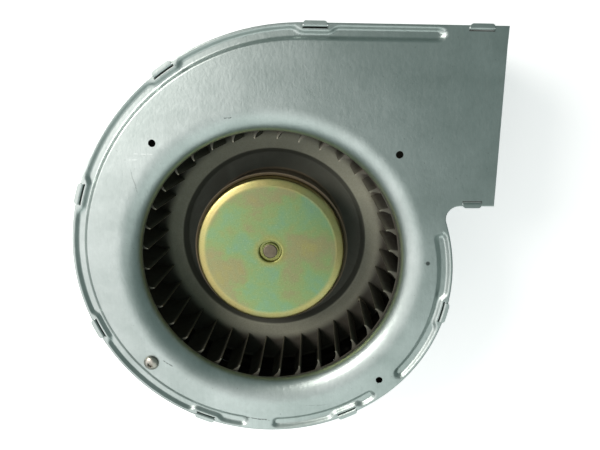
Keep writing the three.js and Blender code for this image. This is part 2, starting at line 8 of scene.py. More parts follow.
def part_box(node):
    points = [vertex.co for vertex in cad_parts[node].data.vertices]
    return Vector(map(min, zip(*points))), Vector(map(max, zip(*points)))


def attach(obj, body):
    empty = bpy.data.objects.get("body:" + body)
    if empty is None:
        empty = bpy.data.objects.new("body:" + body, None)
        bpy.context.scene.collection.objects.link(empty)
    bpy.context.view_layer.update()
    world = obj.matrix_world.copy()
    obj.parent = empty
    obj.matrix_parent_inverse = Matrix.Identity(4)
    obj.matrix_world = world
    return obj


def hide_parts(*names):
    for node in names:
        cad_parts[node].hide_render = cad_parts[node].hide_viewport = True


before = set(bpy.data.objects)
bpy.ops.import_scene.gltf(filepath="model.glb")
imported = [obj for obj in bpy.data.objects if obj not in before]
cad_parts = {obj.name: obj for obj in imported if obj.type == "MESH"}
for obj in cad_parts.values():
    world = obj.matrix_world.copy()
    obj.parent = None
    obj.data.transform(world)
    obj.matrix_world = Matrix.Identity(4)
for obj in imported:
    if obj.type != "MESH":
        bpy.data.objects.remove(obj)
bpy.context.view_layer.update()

# Centrifugal blower lying on its motor, inlet up (+Z), outlet towards +X.
# Shapes are worked out in millimetres and turned to metres when a mesh is made.
mm = 0.001
scene = bpy.context.scene


def heightOf(node, which):
    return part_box(node)[which][2] / mm


frontZ = heightOf("front_plate", 1)  # outer face of the inlet plate
backZ = heightOf("back_plate", 0)  # outer face of the motor-side plate
discLowZ = heightOf("wheel_back_disc", 0)
ringTopZ = heightOf("wheel_front_ring", 1)
cupFaceZ = heightOf("rotor_cup", 1)
cupLowZ = heightOf("rotor_cup", 0)
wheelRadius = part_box("wheel_back_disc")[1][0] / mm
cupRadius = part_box("rotor_cup")[1][0] / mm


def polar(radius, degrees):
    angle = math.radians(degrees)
    return radius * math.cos(angle), radius * math.sin(angle)


def mix(a, b, share):
    return a + (b - a) * share


def smooth(x):
    x = min(1.0, max(0.0, x))
    return x * x * (3 - 2 * x)


def spread(low, high, count):
    return [mix(low, high, i / (count - 1)) for i in range(count)]


def linear(hexColour):
    parts = [int(hexColour[i:i + 2], 16) / 255 for i in (1, 3, 5)]
    return [c / 12.92 if c < 0.04045 else ((c + 0.055) / 1.055) ** 2.4 for c in parts] + [1.0]


def finishMesh(mesh, sharpAngle=32):
    mesh.polygons.foreach_set("use_smooth", [True] * len(mesh.polygons))
    mesh.set_sharp_from_angle(angle=math.radians(sharpAngle))
    mesh.update()


# Points are in mm; a thickness turns a single sheet into a closed wall, whose far side may be
# another material.
def makePiece(name, points, faces, material, merge=0.0, recalculate=False, thickness=0.0,
              offset=-1.0, inner=None):
    mesh = bpy.data.meshes.new(name)
    mesh.from_pydata([[c * mm for c in p] for p in points], [], faces)
    body = bmesh.new()
    body.from_mesh(mesh)
    if merge:
        bmesh.ops.remove_doubles(body, verts=body.verts, dist=merge * mm)
    loose = [v for v in body.verts if not v.link_faces]
    bmesh.ops.delete(body, geom=loose, context="VERTS")
    if recalculate:
        bmesh.ops.recalc_face_normals(body, faces=body.faces)
    body.to_mesh(mesh)
    body.free()
    piece = bpy.data.objects.new(name, mesh)
    scene.collection.objects.link(piece)
    mesh.materials.append(material)
    if inner:
        mesh.materials.append(inner)
    if thickness:
        solidify = piece.modifiers.new("wall", "SOLIDIFY")
        solidify.material_offset = 1 if inner else 0
        solidify.thickness = thickness * mm
        solidify.offset = offset
        solidify.use_even_offset = True
        applyModifiers(piece)
    finishMesh(piece.data)
    return piece


def applyModifiers(piece):
    # the evaluated shape becomes the piece's own plain mesh
    graph = bpy.context.evaluated_depsgraph_get()
    mesh = bpy.data.meshes.new_from_object(piece.evaluated_get(graph))
    piece.modifiers.clear()
    old = piece.data
    piece.data = mesh
    mesh.name = piece.name
    if old.users == 0:
        bpy.data.meshes.remove(old)


def settle(piece, body, slot, *nodes):
    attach(piece, body)
    if nodes:
        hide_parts(*nodes)


# Turns a closed (radius, z) loop round the Z axis; points at radius 0 become one pole.
def turned(loop, segments):
    points, faces, rings = [], [], []
    for radius, z in loop:
        if radius < 1e-6:
            points.append((0, 0, z))
            rings.append([len(points) - 1] * segments)
        else:
            first = len(points)
            points += [(*polar(radius, 360 * i / segments), z) for i in range(segments)]
            rings.append(list(range(first, first + segments)))
    for low, high in zip(rings, rings[1:] + rings[:1]):
        for i in range(segments):
            j = (i + 1) % segments
            corners = list(dict.fromkeys((low[i], low[j], high[j], high[i])))
            if len(corners) > 2:
                faces.append(corners)
    return points, faces


# Rounds the corners of an open (radius, z) line; radii holds one fillet for each inner corner.
def filleted(line, radii, steps=5):
    out = [line[0]]
    for (before, corner, after), radius in zip(zip(line, line[1:], line[2:]), radii):
        a = Vector(before) - Vector(corner)
        b = Vector(after) - Vector(corner)
        half = a.angle(b) / 2
        reach = min(radius / math.tan(half), a.length * 0.48, b.length * 0.48)
        start = Vector(corner) + a.normalized() * reach
        end = Vector(corner) + b.normalized() * reach
        for i in range(steps + 1):
            t = i / steps
            p = start * (1 - t) ** 2 + Vector(corner) * 2 * t * (1 - t) + end * t ** 2
            out.append((p.x, p.y))
    return out + [line[-1]]


# Gives a (radius, z) line a sheet's thickness and rounded ends, as one closed loop.
def thickened(line, thickness):
    left, right = [], []
    for i, point in enumerate(line):
        ahead = Vector(line[min(i + 1, len(line) - 1)]) - Vector(line[max(i - 1, 0)])
        side = Vector((-ahead.y, ahead.x)).normalized() * thickness / 2
        left.append(tuple(Vector(point) + side))
        right.append(tuple(Vector(point) - side))

    def cap(end, towards, side):
        along = (Vector(end) - Vector(towards)).normalized() * thickness / 2
        across = Vector(side) - Vector(end)
        return [tuple(Vector(end) + across * math.cos(a) + along * math.sin(a))
                for a in (math.pi / 4, math.pi / 2, 3 * math.pi / 4)]

    return right + cap(line[-1], line[-2], right[-1]) + left[::-1] + cap(line[0], line[1], left[0])


# Adds one node: settings are its properties, inputs are values or the sockets that feed it.
def addNode(tree, kind, inputs=None, give=0, **settings):
    node = tree.nodes.new(kind)
    for name, value in settings.items():
        setattr(node, name, value)
    for socket, value in (inputs or {}).items():
        if isinstance(value, bpy.types.NodeSocket):
            tree.links.new(value, node.inputs[socket])
        else:
            node.inputs[socket].default_value = value
    return node if give is None else node.outputs[give]


def startMaterial(name):
    material = bpy.data.materials.new(name)
    material.use_nodes = True
    material.node_tree.nodes.clear()
    add = partial(addNode, material.node_tree)
    return material, add, add("ShaderNodeTexCoord", give="Object")


# Uneven patches with the given sizes in mm along X, Y and Z.
def patches(add, place, sizes, detail=3.0, roughness=0.55, distortion=0.0):
    scaled = add("ShaderNodeMapping", {"Vector": place, "Scale": [1 / (size * mm) for size in sizes]})
    return add("ShaderNodeTexNoise", {"Vector": scaled, "Scale": 1.0, "Detail": detail,
                                      "Roughness": roughness, "Distortion": distortion})


# Distance in mm from the upright line through a point of the XY plane.
def awayFrom(add, place, centre=(0, 0)):
    flat = add("ShaderNodeVectorMath", {0: place, 1: (1, 1, 0)}, operation="MULTIPLY")
    offset = add("ShaderNodeVectorMath", {0: flat, 1: (centre[0] * mm, centre[1] * mm, 0)},
                 operation="SUBTRACT")
    length = add("ShaderNodeVectorMath", {0: offset}, give="Value", operation="LENGTH")
    return add("ShaderNodeMath", {0: length, 1: 1 / mm}, operation="MULTIPLY")


# Share of a scratch from one point of the plate to another: a broken hairline with soft ends.
def scratchShare(add, place, start, end, width, strength):
    first = Vector((*start, 0)) * mm
    along = Vector((end[0] - start[0], end[1] - start[1], 0)) * mm
    wobble = patches(add, place, [7] * 3, 2.0)
    flat = add("ShaderNodeVectorMath", {0: place, 1: (1, 1, 0)}, operation="MULTIPLY")
    offset = add("ShaderNodeVectorMath", {0: flat, 1: first}, operation="SUBTRACT")
    dot = add("ShaderNodeVectorMath", {0: offset, 1: along / along.length_squared}, give="Value",
              operation="DOT_PRODUCT")
    side = add("ShaderNodeVectorMath", {0: offset, 1: Vector((-along.y, along.x, 0)).normalized() / mm},
               give="Value", operation="DOT_PRODUCT")
    bend = add("ShaderNodeMath", {0: wobble, 1: 1.6, 2: -0.8}, operation="MULTIPLY_ADD")
    bent = add("ShaderNodeMath", {0: side, 1: bend})
    gap = add("ShaderNodeMath", {0: bent}, operation="ABSOLUTE")
    line = add("ShaderNodeMapRange", {0: gap, 1: width * 0.4, 2: width, 3: strength, 4: 0.0})
    fromMiddle = add("ShaderNodeMath", {0: dot, 1: 0.5}, operation="SUBTRACT")
    middle = add("ShaderNodeMath", {0: fromMiddle}, operation="ABSOLUTE")
    ends = add("ShaderNodeMapRange", {0: middle, 1: 0.4, 2: 0.5, 3: 1.0, 4: 0.0})
    grain = patches(add, place, [1.5] * 3, 2.0)
    broken = add("ShaderNodeMapRange", {0: grain, 1: 0.36, 2: 0.5, 3: 0.15, 4: 1.0})
    share = add("ShaderNodeMath", {0: line, 1: ends}, operation="MULTIPLY")
    return add("ShaderNodeMath", {0: share, 1: broken}, operation="MULTIPLY")


zinc = {
    "light": "#c4cdca", "dark": "#acb7b3", "mottle": "#8f9b97", "flake": "#d6dedb", "speck": "#6a716e",
    "mark": "#3c423f", "bright": "#e6ece9",
    "rollSpacing": 0.6,  # rolled lines, drawn as coarse as they need to show
    "spangle": 5.0, "blotch": 38.0, "peelSizes": (1.7, 2.6, 2.0), "wave": 15, "roughness": (0.37, 0.41),
    # a dent drawn only as a dark spot: painted shade of the dent
    "paintedDentSpot": (83.0, 2.0, 0.8),  # place on the plate and radius
    # from, to, width in mm, strength
    "darkScratches": [((-24.5, -86.8), (1.0, -90.6), 0.45, 0.75), ((-57.5, -54.3), (-52.0, -58.0), 0.4, 0.7),
                      ((-19.0, 74.6), (-15.0, 75.3), 0.35, 0.7), ((-66.5, 50.5), (-64.0, 38.0), 0.3, 0.35),
                      ((20.0, -81.0), (33.0, -80.0), 0.25, 0.3)],
    "brightScratches": [((-64.5, 57.8), (-54.5, 57.5), 0.4, 0.4), ((-67.0, 55.0), (-62.5, 55.0), 0.4, 0.35)],
}


# Hot-dip galvanised sheet, skin-passed: satin grey with fine rolling lines and a faint spangle.
def zincSheet(name, rollSizes, marks=False):
    material, add, place = startMaterial(name)
    rolls = patches(add, place, rollSizes, 2.0)
    blotch = patches(add, place, [zinc["blotch"]] * 3, 4.0, 0.5, 0.6)
    cells = add("ShaderNodeTexVoronoi", {"Vector": place, "Scale": 1 / (zinc["spangle"] * mm)}, give="Color")
    flake = add("ShaderNodeSeparateColor", {"Color": cells})
    stain = patches(add, place, [2.4, 3.2, 2.4], 4.0, 0.7)
    fleck = patches(add, place, [1.5] * 3, 2.0, 0.6)
    lines = add("ShaderNodeMapRange", {0: rolls, 1: 0.3, 2: 0.75, 3: 0.0, 4: 0.05})
    glint = add("ShaderNodeMath", {0: flake, 1: 0.10}, operation="MULTIPLY")
    mottle = add("ShaderNodeMapRange", {0: stain, 1: 0.35, 2: 0.7, 3: 0.0, 4: 0.2})
    specks = add("ShaderNodeMapRange", {0: fleck, 1: 0.71, 2: 0.78, 3: 0.0, 4: 0.5})
    layers = [(lines, "speck"), (glint, "flake"), (mottle, "mottle"), (specks, "speck")]
    if marks:
        x, y, size = zinc["paintedDentSpot"]
        away = awayFrom(add, place, (x, y))
        # painted shade where the dent is
        dentShadeShare = add("ShaderNodeMapRange", {0: away, 1: size, 2: size * 1.7, 3: 0.85, 4: 0.0})
        layers.append((dentShadeShare, "mark"))
        for kind, shade in (("darkScratches", "mark"), ("brightScratches", "bright")):
            layers += [(scratchShare(add, place, *scratch), shade) for scratch in zinc[kind]]
    cloud = add("ShaderNodeMapRange", {0: blotch, 1: 0.3, 2: 0.7})
    colour = add("ShaderNodeMix", {0: cloud, 6: linear(zinc["light"]), 7: linear(zinc["dark"])}, give=2,
                 data_type="RGBA")
    for share, shade in layers:
        colour = add("ShaderNodeMix", {0: share, 6: colour, 7: linear(zinc[shade])}, give=2,
                     data_type="RGBA")
    low, high = zinc["roughness"]
    rough = add("ShaderNodeMapRange", {0: rolls, 1: 0.25, 2: 0.75, 3: low, 4: high})
    fine = patches(add, place, [size * 0.5 for size in rollSizes], 2.0)
    peel = patches(add, place, zinc["peelSizes"], 2.0, 0.6, 0.4)
    waves = patches(add, place, [zinc["wave"]] * 3, 2.0)
    normal = add("ShaderNodeBump", {"Height": fine, "Strength": 0.1, "Distance": 0.003 * mm})
    for height, strength, depth in ((peel, 0.9, 0.075), (waves, 0.5, 0.16)):
        normal = add("ShaderNodeBump", {"Height": height, "Normal": normal, "Strength": strength,
                                        "Distance": depth * mm})
    surface = add("ShaderNodeBsdfPrincipled", {"Base Color": colour, "Metallic": 1.0, "Roughness": rough,
                                               "Normal": normal})
    add("ShaderNodeOutputMaterial", {"Surface": surface}, give=None)
    return material


wheelSteel = {
    "metal": "#84877e", "shade": "#686b63", "dust": "#bcbca9", "grime": "#8d8b76", "paintedRecessShade": "#4a4b42",
    "sootAndGapShade": "#322d25", "rust": "#463c2e", "edge": "#a89f8a", "lip": "#8d775c",
    "cloud": 11.0, "roughness": 0.45, "recessEdge": 55.6, "sootShadeFrom": 62.0, "sootShadeFull": 68.0,
}


# Galvanised wheel sheet dulled by years of air: grey-green dust on the disc, brown soot among the blades
# darkened further as painted shade of the gaps, painted shade in the recess round the rotor, and worn blade
# edges lightened as a painted highlight.
def dustySteel(name):
    material, add, place = startMaterial(name)
    s = wheelSteel
    away = awayFrom(add, place)
    cloud = patches(add, place, [s["cloud"]] * 3, 5.0, 0.6, 0.8)
    fine = patches(add, place, [0.9] * 3, 4.0, 0.65)
    pairs = ((cloud, "metal", "shade"), (fine, "grime", "dust"), (cloud, "sootAndGapShade", "rust"))
    metal, dust, sootAndGapShade = [add("ShaderNodeMix", {0: share, 6: linear(s[one]), 7: linear(s[other])}, give=2,
                             data_type="RGBA") for share, one, other in pairs]
    # darker brown among the blades: soot together with painted shade of the gaps between them
    sootShadeAmongBlades = add("ShaderNodeMapRange", {0: away, 1: s["sootShadeFrom"], 2: s["sootShadeFull"]},
               interpolation_type="SMOOTHSTEP")
    # the floor of the recess round the rotor is darkened: painted shade of the rotor's shadow
    recess = add("ShaderNodeMapRange", {0: away, 1: s["recessEdge"], 2: s["recessEdge"] + 0.8, 3: 0.85,
                                        4: 0.0})
    lip = add("ShaderNodeMapRange", {0: away, 1: cupRadius + 2, 2: cupRadius + 2.6, 3: 0.7, 4: 0.0})
    for share, shade in ((recess, linear(s["paintedRecessShade"])), (sootShadeAmongBlades, sootAndGapShade), (lip, linear(s["lip"]))):
        dust = add("ShaderNodeMix", {0: share, 6: dust, 7: shade}, give=2, data_type="RGBA")
    layer = add("ShaderNodeMapRange", {0: cloud, 1: 0.25, 2: 0.7, 3: 0.6, 4: 0.9})
    worn = add("ShaderNodeAttribute", give="Fac", attribute_name="worn")
    bare = add("ShaderNodeMath", {0: 1.0, 1: worn}, operation="SUBTRACT")
    amount = add("ShaderNodeMath", {0: layer, 1: bare}, operation="MULTIPLY")
    colour = add("ShaderNodeMix", {0: amount, 6: metal, 7: dust}, give=2, data_type="RGBA")
    # worn inner blade edges, bare of dust, are also lightened towards the edge colour: a painted highlight
    # along the edge
    paintedEdgeHighlight = add("ShaderNodeMath", {0: worn, 1: 0.45}, operation="MULTIPLY")
    colour = add("ShaderNodeMix", {0: paintedEdgeHighlight, 6: colour, 7: linear(s["edge"])}, give=2, data_type="RGBA")
    metallic = add("ShaderNodeMath", {0: amount, 1: -0.85, 2: 0.9}, operation="MULTIPLY_ADD")
    rough = add("ShaderNodeMapRange", {0: amount, 3: s["roughness"], 4: 0.8})
    normal = add("ShaderNodeBump", {"Height": fine, "Strength": 0.4, "Distance": 0.02 * mm})
    normal = add("ShaderNodeBump", {"Height": cloud, "Normal": normal, "Strength": 0.3,
                                    "Distance": 0.05 * mm})
    surface = add("ShaderNodeBsdfPrincipled", {"Base Color": colour, "Metallic": metallic, "Roughness": rough,
                                               "Normal": normal})
    add("ShaderNodeOutputMaterial", {"Surface": surface}, give=None)
    return material


passivate = {
    "stops": [(0.30, "#7fa48a"), (0.42, "#86a676"), (0.50, "#92a46a"), (0.58, "#989473"), (0.70, "#a5a063")],
    "gold": "#a39a58", "rim": "#c6b676", "grit": "#c6c89c", "pit": "#4b5035",
    "patch": 19.0, "mottle": 1.6, "faceRadius": 36.0, "haloRadius": 11.0, "roughness": (0.30, 0.42),
}


# Yellow chromate passivated steel: thin-film colours that drift from teal and green to rose and gold.
def chromateSteel(name):
    material, add, place = startMaterial(name)
    patch = patches(add, place, [passivate["patch"]] * 3, 3.0, 0.5, 0.25)
    mottle = patches(add, place, [passivate["mottle"]] * 3, 4.0, 0.65)
    faint = add("ShaderNodeMath", {0: mottle, 1: 0.14}, operation="MULTIPLY")
    film = add("ShaderNodeMath", {0: patch, 1: 0.86, 2: faint}, operation="MULTIPLY_ADD")
    ramp = add("ShaderNodeValToRGB", {"Fac": film}, give=None)
    ramp.color_ramp.interpolation = "B_SPLINE"
    for i, (at, shade) in enumerate(passivate["stops"]):
        stop = ramp.color_ramp.elements[i] if i < 2 else ramp.color_ramp.elements.new(at)
        stop.position = at
        stop.color = linear(shade)
    away = awayFrom(add, place)
    halo = add("ShaderNodeMapRange", {0: away, 1: 7.0, 2: passivate["haloRadius"], 3: 0.6, 4: 0.0},
               interpolation_type="SMOOTHSTEP")
    colour = add("ShaderNodeMix", {0: halo, 6: ramp.outputs["Color"], 7: linear(passivate["gold"])}, give=2,
                 data_type="RGBA")
    # towards the drawn shoulder the colour turns brighter gold: partly the film's own gold, partly a painted
    # highlight of the rounded shoulder
    rim = add("ShaderNodeMapRange", {0: away, 1: passivate["faceRadius"], 2: cupRadius - 3.4, 3: 0.0,
                                     4: 0.72}, interpolation_type="SMOOTHSTEP")
    grit = patches(add, place, [0.7] * 3, 3.0, 0.6)
    bright = add("ShaderNodeMapRange", {0: grit, 1: 0.56, 2: 0.74, 3: 0.0, 4: 0.42})
    pits = add("ShaderNodeMapRange", {0: grit, 1: 0.42, 2: 0.28, 3: 0.0, 4: 0.3})
    for share, shade in ((rim, "rim"), (bright, "grit"), (pits, "pit")):
        colour = add("ShaderNodeMix", {0: share, 6: colour, 7: linear(passivate[shade])}, give=2,
                     data_type="RGBA")
    low, high = passivate["roughness"]
    rough = add("ShaderNodeMapRange", {0: mottle, 1: 0.3, 2: 0.7, 3: low, 4: high})
    normal = add("ShaderNodeBump", {"Height": grit, "Strength": 0.25, "Distance": 0.01 * mm})
    normal = add("ShaderNodeBump", {"Height": patch, "Normal": normal, "Strength": 0.3,
                                    "Distance": 0.12 * mm})
    surface = add("ShaderNodeBsdfPrincipled", {"Base Color": colour, "Metallic": 1.0, "Roughness": rough,
                                               "Normal": normal})
    add("ShaderNodeOutputMaterial", {"Surface": surface}, give=None)
    return material


# A plain finish with fine grain, for turned, drawn or cast metal and for rubber.
def plainFinish(name, light, dark, roughness, sizes, depth=0.01, metallic=1.0):
    material, add, place = startMaterial(name)
    fine = patches(add, place, sizes, 4.0, 0.6)
    coarse = add("ShaderNodeMapRange", {0: patches(add, place, [size * 9 for size in sizes]), 1: 0.3, 2: 0.7})
    colour = add("ShaderNodeMix", {0: coarse, 6: linear(light), 7: linear(dark)}, give=2, data_type="RGBA")
    shade = add("ShaderNodeMapRange", {0: fine, 1: 0.4, 2: 0.8, 3: 0.0, 4: 0.5})
    colour = add("ShaderNodeMix", {0: shade, 6: colour, 7: linear(dark)}, give=2, data_type="RGBA")
    rough = add("ShaderNodeMapRange", {0: fine, 1: 0.25, 2: 0.75, 3: roughness - 0.06, 4: roughness + 0.08})
    normal = add("ShaderNodeBump", {"Height": fine, "Strength": 0.5, "Distance": depth * mm})
    surface = add("ShaderNodeBsdfPrincipled", {"Base Color": colour, "Metallic": metallic, "Roughness": rough,
                                               "Normal": normal})
    add("ShaderNodeOutputMaterial", {"Surface": surface}, give=None)
    return material


roll = zinc["rollSpacing"]
plateZinc = zincSheet("galvanisedPlate", (roll, 60, 60), marks=True)  # rolled along Y
bandZinc = zincSheet("galvanisedBand", (60, 60, roll))  # rolled along the strip's length
wheelSheet = dustySteel("dustyWheelSheet")
# Zinc's dull inner side: brown-grey fan dust over everything the air passes.
dustyZinc = plainFinish("dustyZincInside", "#5a554a", "#3b372f", 0.75, [2.5] * 3, 0.03, metallic=0.25)
chromate = chromateSteel("yellowPassivatedSteel")
# Die-cast aluminium: a pale, slightly rough skin.
castAluminium = plainFinish("dieCastAluminium", "#b9bbbb", "#9c9fa0", 0.48, [0.7] * 3, 0.03)
# Ground and turned steels: bright, with fine rings along the axis.
groundSteel = plainFinish("groundSteel", "#c4c4c2", "#a5a5a3", 0.24, [0.4, 0.4, 3.0], 0.003)
shaftSteel = plainFinish("turnedShaftSteel", "#857b69", "#6b6253", 0.45, [0.5, 0.5, 2.0], 0.01)
screwSteel = plainFinish("stainlessScrew", "#cbc7bd", "#a8a49a", 0.34, [0.4] * 3, 0.006)
springSteel = plainFinish("brightSpringSteel", "#d8d4c6", "#b7b2a2", 0.22, [0.3, 0.3, 2.0], 0.003)
# Electrical sheet in a stack: thin dark edges every half millimetre.
laminations = plainFinish("stackedLaminations", "#6b6d6e", "#4b4d4e", 0.5, [3.0, 3.0, 0.5], 0.05)
# Enamelled copper wire: glossy brown-orange turns.
copperWire = plainFinish("enamelledCopper", "#b3622f", "#8a4521", 0.34, [2.5, 2.5, 0.45], 0.15)
# Moulded rubber: matt black with a little bloom.
rubber = plainFinish("blackRubber", "#232323", "#161616", 0.75, [0.5] * 3, 0.02, metallic=0.0)
print("materials made")

scroll = {
    "middleCentre": (0.0, 3.9), "upperRadius": wheelRadius + 38.2, "middleRadius": wheelRadius + 20.3,
    "lowerRadius": wheelRadius + 8, "upperEnd": 167.5, "middleEnd": 310, "neckFillet": 6.25,
    "outletX": wheelRadius + 33.8, "outletLowY": 31.8, "topSlope": 1.4,
}


def shifted(centre, distance, degrees):
    x, y = polar(distance, degrees)
    return centre[0] + x, centre[1] + y


def arcPiece(centre, radius, first, last, side=1):
    def at(share):
        x, y = polar(1, mix(first, last, share))
        return (centre[0] + radius * x, centre[1] + radius * y), (side * x, side * y)
    return radius * math.radians(abs(last - first)), at


def linePiece(start, end):
    dx, dy = end[0] - start[0], end[1] - start[1]
    length = math.hypot(dx, dy)

    def at(share):
        return (start[0] + dx * share, start[1] + dy * share), (dy / length, -dx / length)
    return length, at


# The edge runs from the outlet's far corner round the scroll to its near corner.
def scrollEdge():
    s = scroll
    middle = s["middleCentre"]
    upper = shifted(middle, s["middleRadius"] - s["upperRadius"], s["upperEnd"])
    lower = shifted(middle, s["middleRadius"] - s["lowerRadius"], s["middleEnd"])
    topStart = shifted(upper, s["upperRadius"], 90 - s["topSlope"])
    drop = (s["outletX"] - topStart[0]) * math.tan(math.radians(s["topSlope"]))
    reach = s["lowerRadius"] + s["neckFillet"]
    neckAngle = math.degrees(math.asin((s["outletLowY"] - s["neckFillet"] - lower[1]) / reach))
    fillet = shifted(lower, reach, neckAngle)
    return [
        linePiece((s["outletX"], topStart[1] - drop), topStart),
        arcPiece(upper, s["upperRadius"], 90 - s["topSlope"], s["upperEnd"]),
        arcPiece(middle, s["middleRadius"], s["upperEnd"], s["middleEnd"]),
        arcPiece(lower, s["lowerRadius"], s["middleEnd"], 360 + neckAngle),
        arcPiece(fillet, s["neckFillet"], 180 + neckAngle, 90, -1),
        linePiece((fillet[0], s["outletLowY"]), (s["outletX"], s["outletLowY"])),
    ]


edge = scrollEdge()
edgeLength = sum(length for length, at in edge)


def edgeAt(distance):
    start = 0.0
    for length, at in edge:
        if distance <= start + length:
            return at(max(0.0, distance - start) / length)
        start += length
    return edge[-1][1](1.0)


def inside(distance, inset):
    (x, y), (outX, outY) = edgeAt(distance)
    return x - outX * inset, y - outY * inset


# Distances along the edge no further apart than step, with every extra one kept.
def stations(step, extras=()):
    fixed = set(extras) | {0.0, edgeLength}
    start = 0.0
    for length, at in edge:
        start += length
        fixed.add(min(start, edgeLength))
    marks = sorted(fixed)
    out = [marks[0]]
    for mark in marks[1:]:
        if mark - out[-1] < 0.02:
            continue
        count = max(1, math.ceil((mark - out[-1]) / step))
        out += [mix(out[-1], mark, (i + 1) / count) for i in range(count)]
    return out


def distanceAtAngle(degrees):
    low, high = 0.0, edgeLength - edge[-1][0] - edge[-2][0]
    for _ in range(40):
        middle = (low + high) / 2
        x, y = edgeAt(middle)[0]
        angle = math.degrees(math.atan2(y, x)) % 360
        if middle > edgeLength / 2 and angle < 90:
            angle += 360
        low, high = (low, middle) if angle > degrees else (middle, high)
    return low


band = {
    "thickness": 0.7, "inset": 1.3, "tabWidth": 10.8, "tabOverhang": 0.75, "bend": 0.7, "cornerCut": 0.9,
    "lastTabWidth": 8.6, "tabAngles": (78, 116, 158, 201.5, 248, 297, 345),
    "tabFromOutletTop": 12.3, "tabFromOutletLow": 10.8,
}
tabCentres = [band["tabFromOutletTop"], *map(distanceAtAngle, band["tabAngles"]),
              edgeLength - band["tabFromOutletLow"]]


def halfTab(centre):
    return (band["lastTabWidth"] if centre == tabCentres[-1] else band["tabWidth"]) / 2


plate = {
    "sheet": 0.8, "step": 1.2, "edgeRoll": 0.15,
    "slotOuter": 0.9, "slotInner": 2.6, "slotInnerBack": 2.1, "slotPlay": 0.5,
    "grooveOuter": 0.9, "grooveInner": 8.0, "grooveDepth": 1.6, "outerWall": 2.2, "innerWall": 2.6,
    "relief": 2.2, "reliefReach": 0.9, "reliefRamp": 4.2, "fromOutlet": 28.2,
    "breaks": ((262.7, 270.8), (308.8, 317.9)), "lastAngle": 371.8,
    # distance from the inlet's centre and bearing of each hole; the screw sits in the third
    "holeRadius": 1.85, "holeSpots": ((86.4, 41.6), (84.7, 131.9), (86.0, 220.4), (87.2, 312.3)),
    "holeSides": 32, "roundSides": 240,
}
grooveEnds = [distanceAtAngle(a) for pair in plate["breaks"] for a in pair]
grooves = [(plate["fromOutlet"], grooveEnds[0]), (grooveEnds[1], grooveEnds[2]),
           (grooveEnds[3], distanceAtAngle(plate["lastAngle"]))]
ribbonInsets = [0, 0.12, 0.35, 0.6, plate["slotOuter"], 1.2, 1.5, 1.8, 2.1, 2.35, plate["slotInner"]]
ribbonInsets += spread(2.9, 8.3, 19)

inlet = {"centre": (1.7, 0), "bellRadius": 80.9, "throatRadius": 68.6, "depth": 9, "steps": 18, "lip": 0.8}


# Pressed depth of the groove: steep outside, gentle inside, round ends, and narrower beside each tab.
def grooveDepth(distance, inset):
    p = plate
    nearest = min(abs(distance - centre) for centre in tabCentres)
    beside = 1 - smooth((nearest - band["tabWidth"] / 2 - p["reliefReach"]) / p["reliefRamp"])
    outer = p["grooveOuter"] + p["relief"] * beside
    half = (p["grooveInner"] - outer) / 2
    middle = outer + half
    for start, end in grooves:
        along = distance - min(max(distance, start + half), end - half)
        across = inset - middle
        away = math.hypot(along, across)
        if away < half:
            inward = (across / away + 1) / 2 if away > 1e-6 else 0.5
            wall = mix(p["outerWall"], p["innerWall"], inward)
            return p["grooveDepth"] * smooth((half - away) / wall)
    return 0.0


def circlePoints(x, y, radius, sides):
    return [shifted((x, y), radius, 360 * i / sides) for i in range(sides)]


# Fills the flat area between the ribbon, the middle opening and the fixing holes.
def fillFlat(loops, z):
    body = bmesh.new()
    for loop in loops:
        corners = [body.verts.new((x, y, z)) for x, y in loop]
        for a, b in zip(corners, corners[1:] + corners[:1]):
            body.edges.new((a, b))
    bmesh.ops.triangle_fill(body, use_beauty=True, use_dissolve=False, edges=body.edges[:])
    body.verts.index_update()
    points = [tuple(v.co) for v in body.verts]
    faces = []
    for face in body.faces:
        corners = [v.index for v in face.verts]
        faces.append(corners if face.normal.z > 0 else corners[::-1])
    body.free()
    return points, faces


def fixingPlaces():
    return [shifted(inlet["centre"], *dentShadeShare) for dentShadeShare in plate["holeSpots"]]


# The pressed sheet as seen from outside, at z = 0 with the inside below.
def pressedSheet(openingCentre, openingRadius, slotInner, holeCentres=()):
    slots = [(centre - halfTab(centre) - plate["slotPlay"], centre + halfTab(centre) + plate["slotPlay"])
             for centre in tabCentres]
    along = stations(plate["step"], [end for slot in slots for end in slot])
    points, faces = [], []
    for distance in along:
        for inset in ribbonInsets:
            dip = plate["edgeRoll"] * (1 - smooth(inset / 0.3)) + grooveDepth(distance, inset)
            points.append((*inside(distance, inset), -dip))
    wide = len(ribbonInsets)
    for i in range(len(along) - 1):
        middle = (along[i] + along[i + 1]) / 2
        cut = any(low < middle < high for low, high in slots)
        for j in range(wide - 1):
            if cut and ribbonInsets[j] >= plate["slotOuter"] and ribbonInsets[j + 1] <= slotInner:
                continue
            a, b = i * wide + j, i * wide + j + 1
            faces.append((a, a + wide, b + wide, b))
    rim = [inside(distance, ribbonInsets[-1]) for distance in along]
    holes = [circlePoints(x, y, plate["holeRadius"], plate["holeSides"]) for x, y in holeCentres]
    opening = circlePoints(*openingCentre, openingRadius, plate["roundSides"])
    flatPoints, flatFaces = fillFlat([rim, opening, *holes], 0.0)
    first = len(points)
    points += flatPoints
    faces += [[first + c for c in face] for face in flatFaces]
    return points, faces


def bellPoints():
    wide, high = inlet["bellRadius"] - inlet["throatRadius"], inlet["depth"] - inlet["lip"]
    curve = []
    for i in range(inlet["steps"] + 1):
        x, y = polar(1, 90 - 90 * i / inlet["steps"])
        curve.append((inlet["bellRadius"] - wide * x, high * (y - 1)))
    return curve + [(inlet["throatRadius"], -inlet["depth"])]


